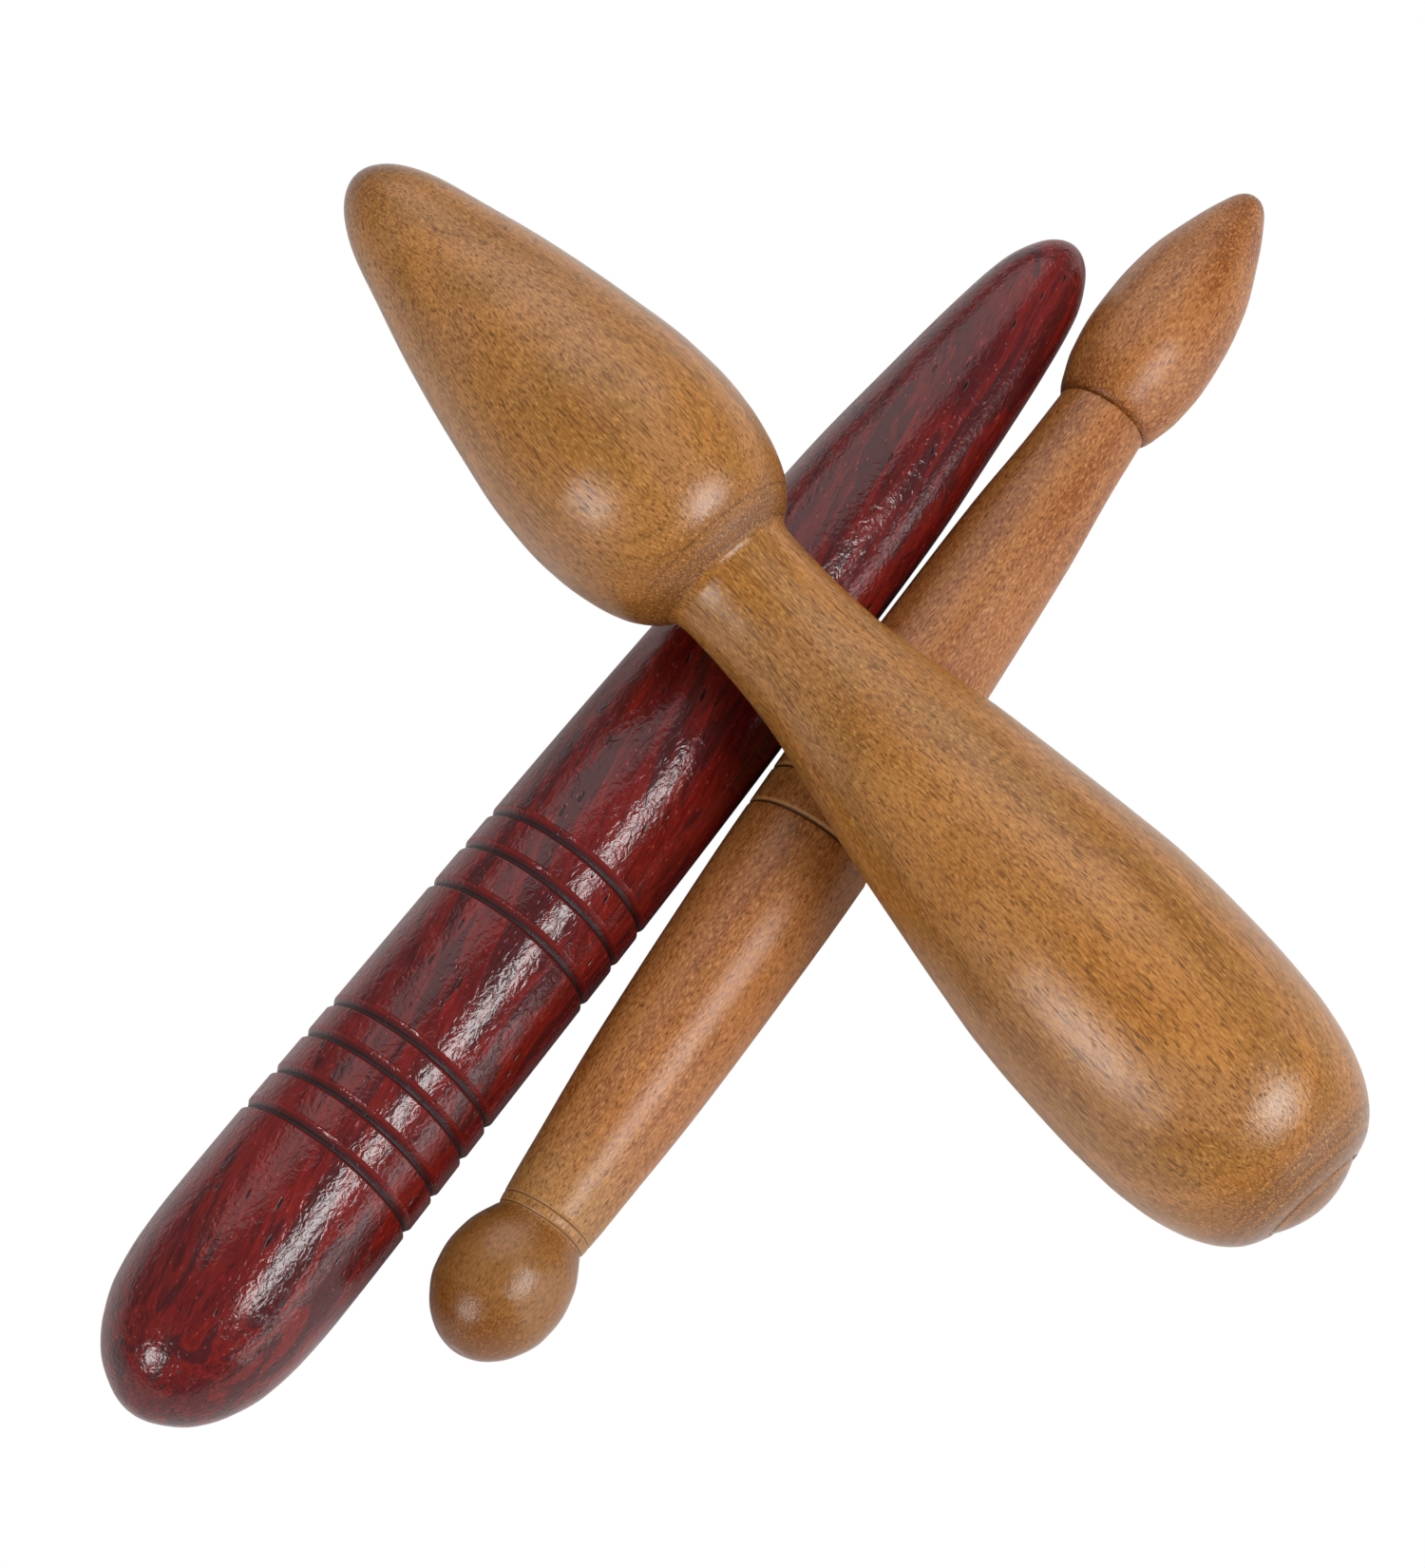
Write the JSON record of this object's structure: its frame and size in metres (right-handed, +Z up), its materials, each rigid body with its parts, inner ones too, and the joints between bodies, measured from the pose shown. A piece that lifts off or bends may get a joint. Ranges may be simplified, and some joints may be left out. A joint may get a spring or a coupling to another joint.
{
  "type": "turned wooden sticks",
  "caption": "Loose set of turned hardwood sticks lying crossed: a gourd-shaped one across a ringed one and a slim ball-ended one, for striking together or massage.",
  "frame": {"origin": "on the table, under the middle of the box round the sticks as they lie crossed", "axes": "+Z up from the table; +X to the right and +Y away, with the ringed and slim sticks running from front left to back right and the gourd stick from back left to front right"},
  "size_m": [0.128, 0.1406, 0.0429],
  "materials": {
    "wine_red_rosewood": "glossy lacquer over open pores",
    "tan_hardwood": "satin oil",
    "golden_hardwood": "satin wax"
  },
  "bodies": {
    "ringed_stick": {"ringed_stick": "wine_red_rosewood"},
    "slim_stick": {"slim_stick": "tan_hardwood"},
    "gourd_stick": {"gourd_stick": "golden_hardwood"}
  },
  "joints": [
    {"name": "slim_lift", "type": "slide", "parent": "ringed_stick", "child": "slim_stick", "axis": [0, 0, 1], "range_m": [0, 0.1]},
    {"name": "gourd_lift", "type": "slide", "parent": "slim_stick", "child": "gourd_stick", "axis": [0, 0, 1], "range_m": [0, 0.1]}
  ]
}
